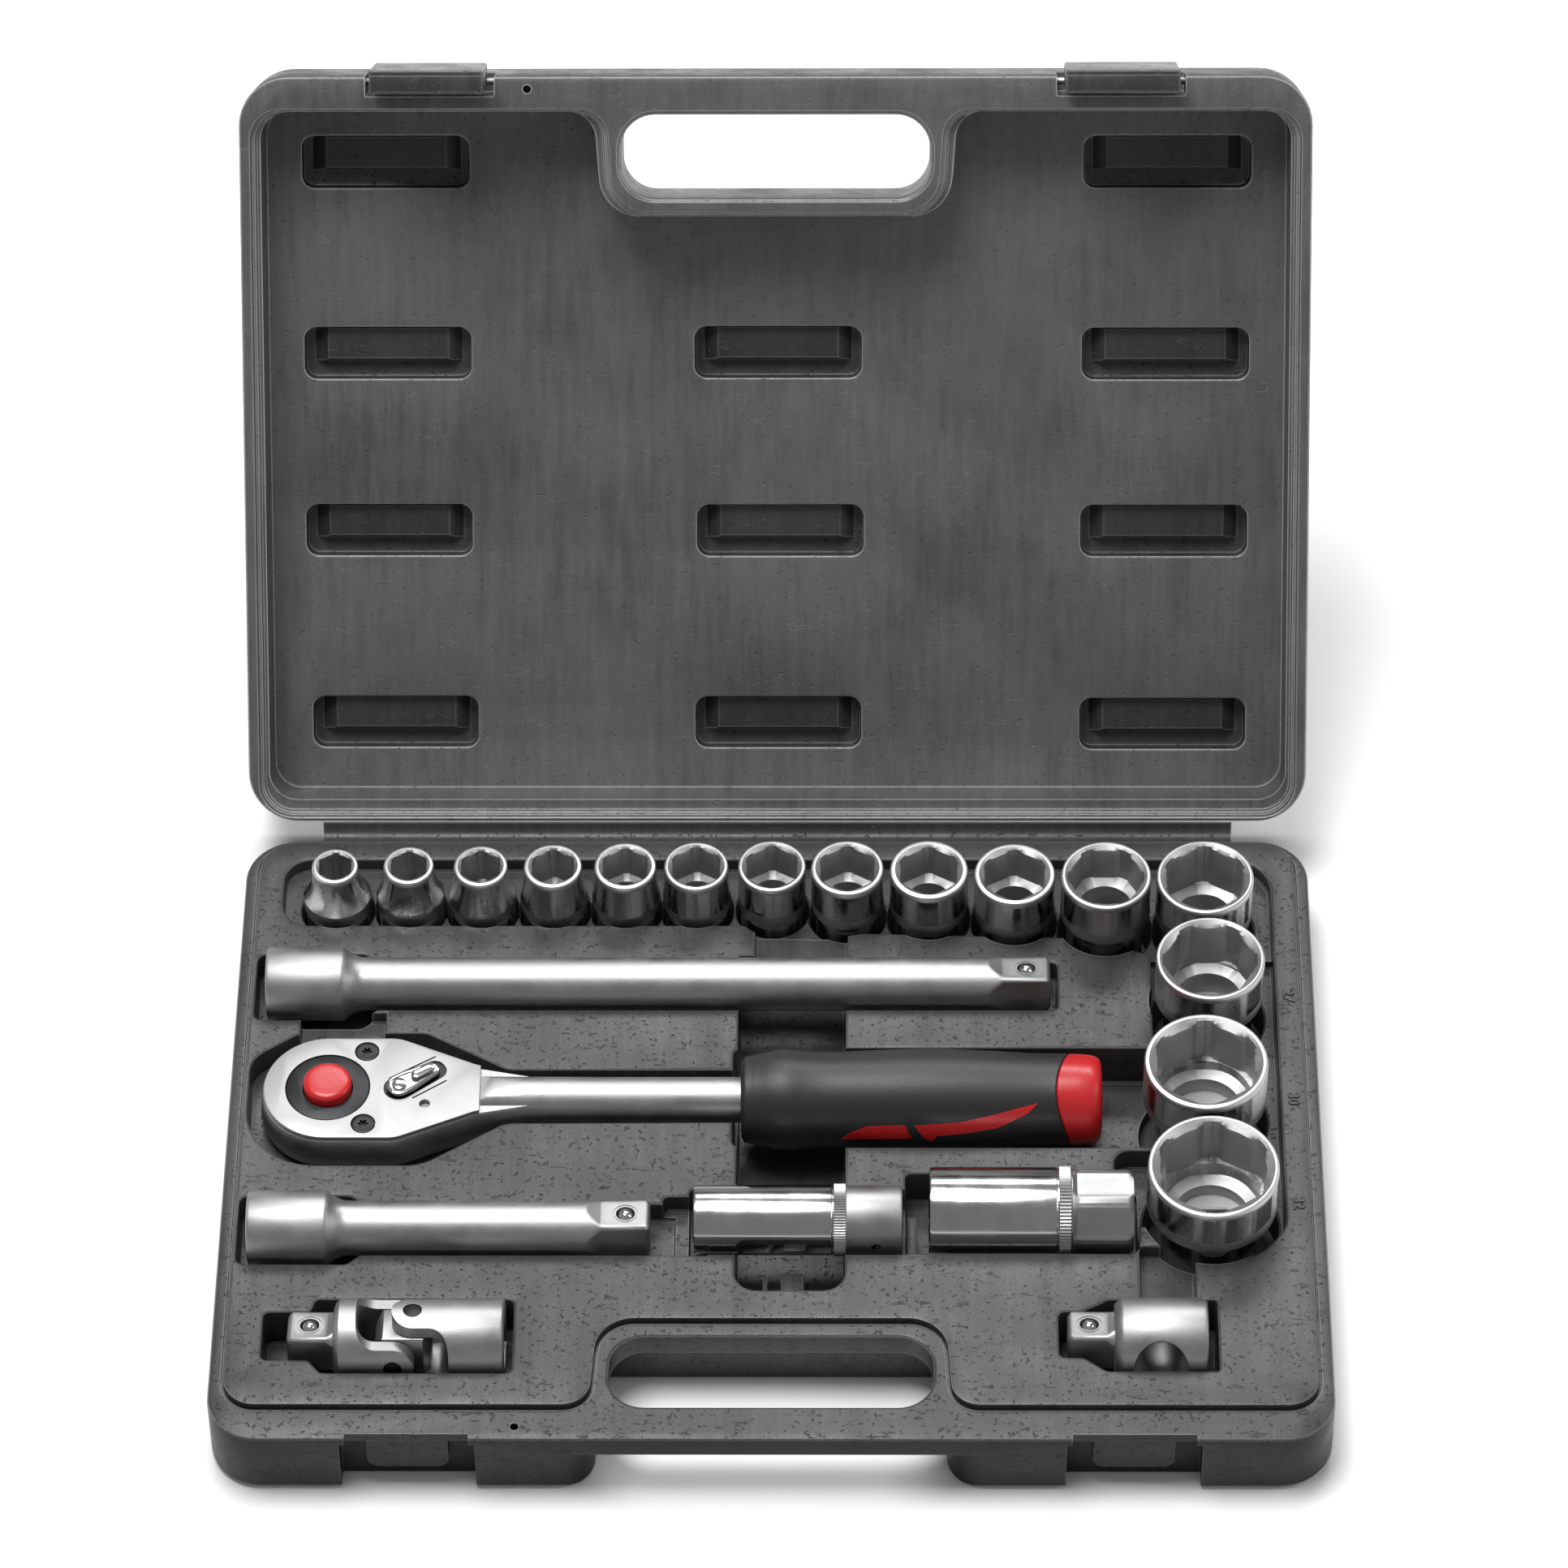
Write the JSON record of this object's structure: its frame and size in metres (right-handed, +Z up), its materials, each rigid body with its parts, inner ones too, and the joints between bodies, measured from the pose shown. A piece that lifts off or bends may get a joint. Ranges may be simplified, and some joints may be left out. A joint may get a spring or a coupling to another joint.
{
  "type": "socket wrench set in case",
  "caption": "Open moulded case with hex sockets, two extension bars, a reversible ratchet, plug sockets, a universal joint and a sliding adaptor.",
  "frame": {"origin": "middle of the tray's bottom face", "axes": "+X to the right along the hinge, +Y from the handle towards the hinge, +Z up"},
  "size_m": [0.342, 0.4184, 0.2339],
  "materials": {
    "case_plastic": "dark grey blow-moulded plastic with a fine grain",
    "hinge_plastic": "same plastic pressed thin",
    "chrome": "mirror chrome with a satin mouth and a knurled ring",
    "satin_steel": "satin chrome plate",
    "cover_plate": "fine satin plate",
    "dark_steel": "blackened steel",
    "polished_ball": "polished bearing steel",
    "red_plastic": "red moulded plastic",
    "grip_black": "near-black soft grip",
    "plug_rubber": "black rubber"
  },
  "bodies": {
    "case": {"tray": "case_plastic", "living_hinge": "hinge_plastic"},
    "lid": {"lid": "case_plastic", "latch_pin_left": "satin_steel", "latch_pin_right": "satin_steel"},
    "latch_left": {"latch_left": "case_plastic"},
    "latch_right": {"latch_right": "case_plastic"},
    "socket_10": {"socket_10": "chrome"},
    "socket_11": {"socket_11": "chrome"},
    "socket_12": {"socket_12": "chrome"},
    "socket_13": {"socket_13": "chrome"},
    "socket_14": {"socket_14": "chrome"},
    "socket_15": {"socket_15": "chrome"},
    "socket_16": {"socket_16": "chrome"},
    "socket_17": {"socket_17": "chrome"},
    "socket_18": {"socket_18": "chrome"},
    "socket_19": {"socket_19": "chrome"},
    "socket_22": {"socket_22": "chrome"},
    "socket_24": {"socket_24": "chrome"},
    "socket_27": {"socket_27": "chrome"},
    "socket_30": {"socket_30": "chrome"},
    "socket_32": {"socket_32": "chrome"},
    "extension_250": {"extension_250": "satin_steel"},
    "extension_250_ball": {"extension_250_ball": "polished_ball"},
    "extension_125": {"extension_125": "satin_steel"},
    "extension_125_ball": {"extension_125_ball": "polished_ball"},
    "plug_socket_16": {"plug_socket_16": "chrome", "plug_socket_16_rubber": "plug_rubber"},
    "plug_socket_21": {"plug_socket_21": "chrome", "plug_socket_21_rubber": "plug_rubber"},
    "joint_drive": {"joint_drive_yoke": "satin_steel", "joint_pin_across": "dark_steel"},
    "joint_cross": {"joint_cross": "dark_steel", "joint_pin_upright": "dark_steel"},
    "joint_socket": {"joint_socket_yoke": "satin_steel"},
    "joint_ball": {"joint_ball": "polished_ball"},
    "slider": {"slider": "satin_steel"},
    "slider_ball": {"slider_ball": "polished_ball"},
    "ratchet": {"ratchet_body": "satin_steel", "ratchet_cover": "cover_plate", "cover_screw_back": "dark_steel", "cover_screw_front": "dark_steel", "grip_core": "red_plastic", "grip_sleeve": "grip_black"},
    "ratchet_gear": {"ratchet_gear": "dark_steel"},
    "ratchet_button": {"ratchet_button": "red_plastic"},
    "ratchet_ball": {"ratchet_ball": "polished_ball"},
    "ratchet_pawl": {"ratchet_pawl": "dark_steel"},
    "ratchet_lever": {"ratchet_lever": "satin_steel"}
  },
  "joints": [
    {"name": "lid_hinge", "type": "hinge", "parent": "case", "child": "lid", "pos_m": [0, 0.124, 0.0252], "axis": [-1, 0, 0], "range_deg": [-127.6, 20]},
    {"name": "latch_left_hinge", "type": "hinge", "parent": "lid", "child": "latch_left", "pos_m": [-0.11, 0.27874, 0.21173], "axis": [-1, 0, 0], "range_deg": [0, 100]},
    {"name": "latch_right_hinge", "type": "hinge", "parent": "lid", "child": "latch_right", "pos_m": [0.11, 0.27874, 0.21173], "axis": [-1, 0, 0], "range_deg": [0, 100]},
    {"name": "socket_10_lift", "type": "slide", "parent": "case", "child": "socket_10", "axis": [0, 0, 1], "range_m": [0, 0.05]},
    {"name": "socket_11_lift", "type": "slide", "parent": "case", "child": "socket_11", "axis": [0, 0, 1], "range_m": [0, 0.05]},
    {"name": "socket_12_lift", "type": "slide", "parent": "case", "child": "socket_12", "axis": [0, 0, 1], "range_m": [0, 0.05]},
    {"name": "socket_13_lift", "type": "slide", "parent": "case", "child": "socket_13", "axis": [0, 0, 1], "range_m": [0, 0.05]},
    {"name": "socket_14_lift", "type": "slide", "parent": "case", "child": "socket_14", "axis": [0, 0, 1], "range_m": [0, 0.05]},
    {"name": "socket_15_lift", "type": "slide", "parent": "case", "child": "socket_15", "axis": [0, 0, 1], "range_m": [0, 0.05]},
    {"name": "socket_16_lift", "type": "slide", "parent": "case", "child": "socket_16", "axis": [0, 0, 1], "range_m": [0, 0.05]},
    {"name": "socket_17_lift", "type": "slide", "parent": "case", "child": "socket_17", "axis": [0, 0, 1], "range_m": [0, 0.05]},
    {"name": "socket_18_lift", "type": "slide", "parent": "case", "child": "socket_18", "axis": [0, 0, 1], "range_m": [0, 0.05]},
    {"name": "socket_19_lift", "type": "slide", "parent": "case", "child": "socket_19", "axis": [0, 0, 1], "range_m": [0, 0.05]},
    {"name": "socket_22_lift", "type": "slide", "parent": "case", "child": "socket_22", "axis": [0, 0, 1], "range_m": [0, 0.05]},
    {"name": "socket_24_lift", "type": "slide", "parent": "case", "child": "socket_24", "axis": [0, 0, 1], "range_m": [0, 0.05]},
    {"name": "socket_27_lift", "type": "slide", "parent": "case", "child": "socket_27", "axis": [0, 0, 1], "range_m": [0, 0.05]},
    {"name": "socket_30_lift", "type": "slide", "parent": "case", "child": "socket_30", "axis": [0, 0, 1], "range_m": [0, 0.05]},
    {"name": "socket_32_lift", "type": "slide", "parent": "case", "child": "socket_32", "axis": [0, 0, 1], "range_m": [0, 0.05]},
    {"name": "extension_250_lift", "type": "slide", "parent": "case", "child": "extension_250", "axis": [0, 0, 1], "range_m": [0, 0.05]},
    {"name": "extension_250_detent", "type": "slide", "parent": "extension_250", "child": "extension_250_ball", "axis": [0, -0.225, -0.9744], "range_m": [0, 0.0009], "stiffness_N_per_m": 400},
    {"name": "extension_125_lift", "type": "slide", "parent": "case", "child": "extension_125", "axis": [0, 0, 1], "range_m": [0, 0.05]},
    {"name": "extension_125_detent", "type": "slide", "parent": "extension_125", "child": "extension_125_ball", "axis": [0, -0.1305, -0.9914], "range_m": [0, 0.0009], "stiffness_N_per_m": 400},
    {"name": "plug_socket_16_lift", "type": "slide", "parent": "case", "child": "plug_socket_16", "axis": [0, 0, 1], "range_m": [0, 0.05]},
    {"name": "plug_socket_21_lift", "type": "slide", "parent": "case", "child": "plug_socket_21", "axis": [0, 0, 1], "range_m": [0, 0.05]},
    {"name": "joint_lift", "type": "slide", "parent": "case", "child": "joint_drive", "axis": [0, 0, 1], "range_m": [0, 0.05]},
    {"name": "joint_bend", "type": "hinge", "parent": "joint_drive", "child": "joint_cross", "pos_m": [-0.115, -0.083, 0.0246], "axis": [0, -0.9877, 0.1564], "range_deg": [0, 40]},
    {"name": "joint_swing", "type": "hinge", "parent": "joint_cross", "child": "joint_socket", "pos_m": [-0.109, -0.083, 0.0246], "axis": [0, 0.1564, 0.9877], "range_deg": [-1.8, 1.8]},
    {"name": "joint_detent", "type": "slide", "parent": "joint_drive", "child": "joint_ball", "axis": [0, -0.1564, -0.9877], "range_m": [0, 0.0009], "stiffness_N_per_m": 400},
    {"name": "slider_lift", "type": "slide", "parent": "case", "child": "slider", "axis": [0, 0, 1], "range_m": [0, 0.05]},
    {"name": "slider_detent", "type": "slide", "parent": "slider", "child": "slider_ball", "axis": [0, -0.2079, -0.9781], "range_m": [0, 0.0009], "stiffness_N_per_m": 400},
    {"name": "ratchet_lift", "type": "slide", "parent": "case", "child": "ratchet", "axis": [0, 0, 1], "range_m": [0, 0.05]},
    {"name": "ratchet_drive", "type": "hinge", "parent": "ratchet", "child": "ratchet_gear", "pos_m": [-0.1396, 0.0108, 0.02], "axis": [0, 0, 1], "continuous": true},
    {"name": "quick_release", "type": "slide", "parent": "ratchet_gear", "child": "ratchet_button", "axis": [0, 0, -1], "range_m": [0, 0.0025], "stiffness_N_per_m": 400},
    {"name": "ratchet_detent", "type": "slide", "parent": "ratchet_gear", "child": "ratchet_ball", "axis": [0, 1, 0], "range_m": [0, 0.0009]},
    {"name": "reversing_lever", "type": "hinge", "parent": "ratchet", "child": "ratchet_lever", "pos_m": [-0.1171, 0.0108, 0.03], "axis": [0, 0, 1], "range_deg": [-66, 0]},
    {"name": "pawl_rock", "type": "hinge", "parent": "ratchet", "child": "ratchet_pawl", "pos_m": [-0.1171, 0.0108, 0.025], "axis": [0, 0, 1], "range_deg": [-8, 0]}
  ],
  "couplings": [
    {"joint": "ratchet_detent", "follows": "quick_release", "ratio": 0.35},
    {"joint": "pawl_rock", "follows": "reversing_lever", "ratio": 0.12}
  ]
}
